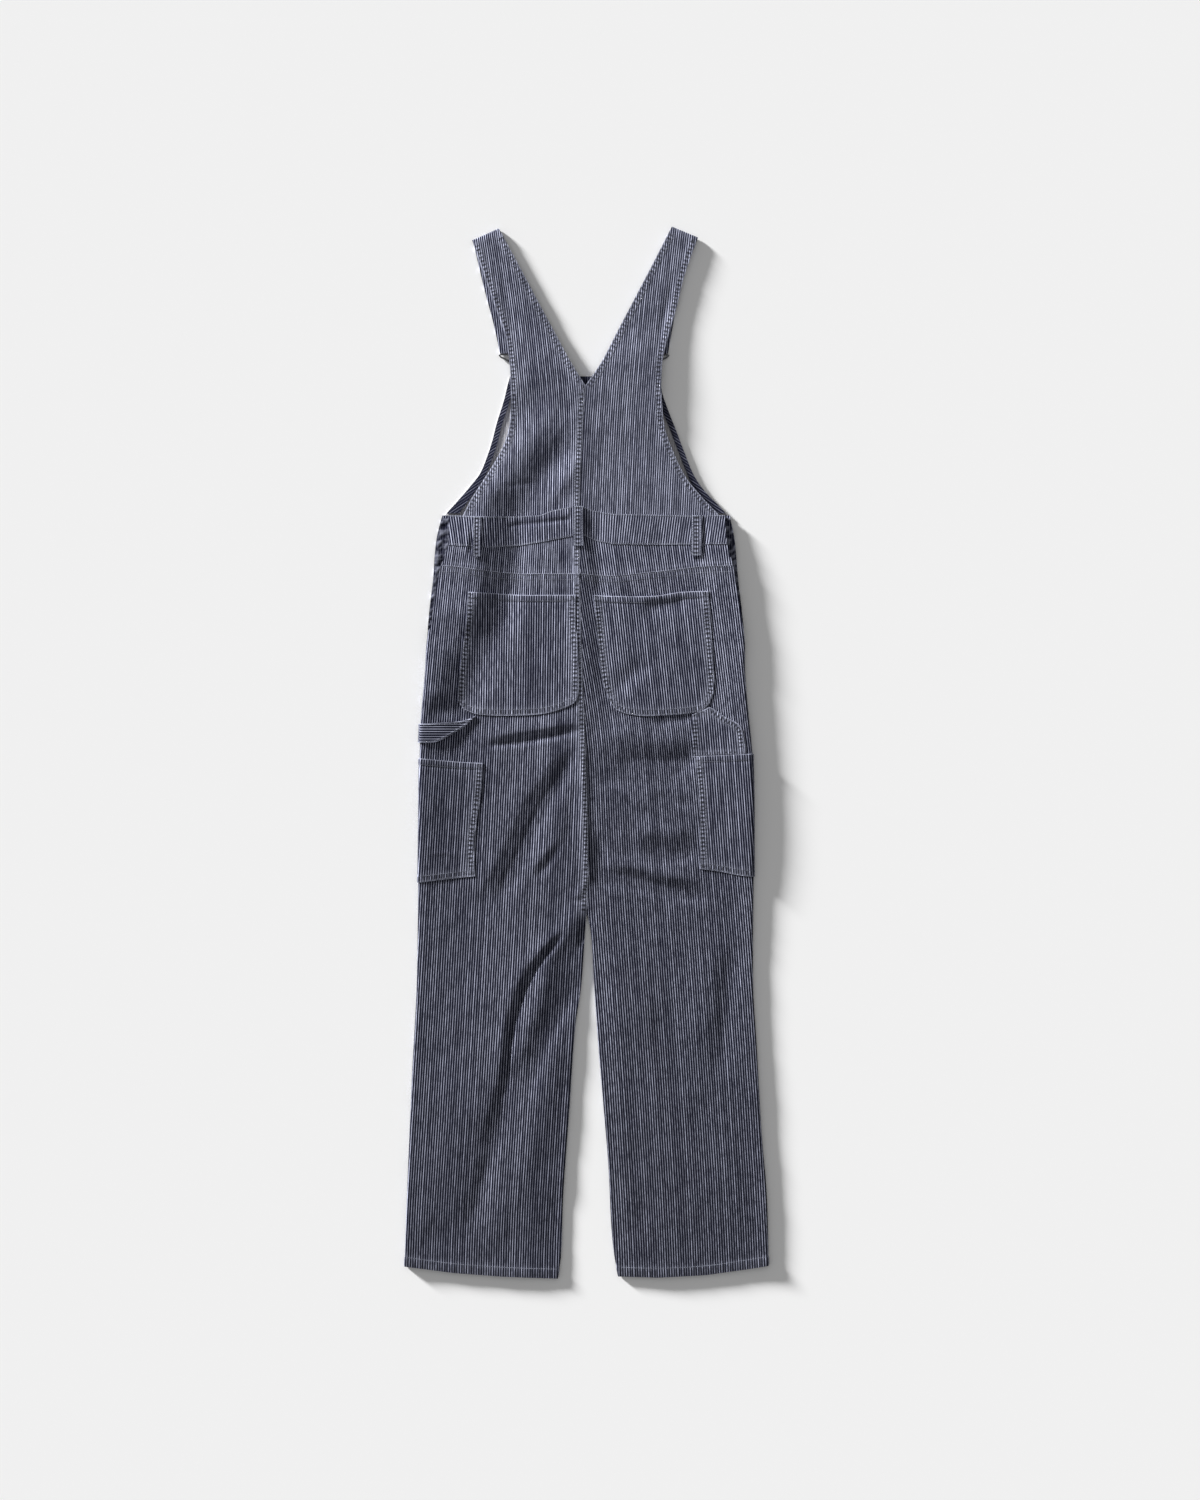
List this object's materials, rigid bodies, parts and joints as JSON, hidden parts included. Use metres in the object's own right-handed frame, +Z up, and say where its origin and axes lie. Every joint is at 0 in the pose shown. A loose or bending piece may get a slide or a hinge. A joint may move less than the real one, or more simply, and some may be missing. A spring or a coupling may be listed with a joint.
{
  "type": "bib overalls",
  "caption": "Striped denim bib overalls laid flat on their front, back up, with straps cut in one with the bodice, yoke, patch pockets, side tool pockets and a hammer loop.",
  "frame": {"origin": "on the surface it lies on, below the middle of the garment's length and width", "axes": "+Y up the garment from the hems to the straps, +X to the wearer's right, +Z up out of the garment's back"},
  "size_m": [0.503, 1.453, 0.019],
  "materials": {
    "striped_denim": "yarn-dyed navy twill with a fine pale stripe, matt, softly worn at its seams",
    "denim_wrong_side": "pale grey-blue back of the twill, matt",
    "wire_steel": "drawn steel wire and pressed steel, worn satin"
  },
  "bodies": {
    "root": {"front_leg_left": "striped_denim", "front_leg_right": "striped_denim", "front_waistband": "striped_denim", "bib": "denim_wrong_side", "bib_facing_left": "striped_denim", "bib_facing_right": "striped_denim", "bib_facing_top": "striped_denim", "placket_left": "striped_denim", "placket_right": "striped_denim", "back_bodice_left": "striped_denim", "back_bodice_right": "striped_denim", "back_waistband": "striped_denim", "back_yoke_left": "striped_denim", "back_yoke_right": "striped_denim", "back_leg_left": "striped_denim", "back_leg_right": "striped_denim", "back_pocket_left": "striped_denim", "back_pocket_right": "striped_denim", "side_pocket_left": "striped_denim", "side_pocket_right": "striped_denim", "tool_pocket_right": "striped_denim", "hammer_loop": "striped_denim", "belt_loop_left": "striped_denim", "belt_loop_centre": "striped_denim", "belt_loop_right": "striped_denim", "strap_loop_left": "wire_steel", "strap_loop_right": "wire_steel", "bib_button_left": "wire_steel", "bib_button_right": "wire_steel"}
  },
  "joints": []
}
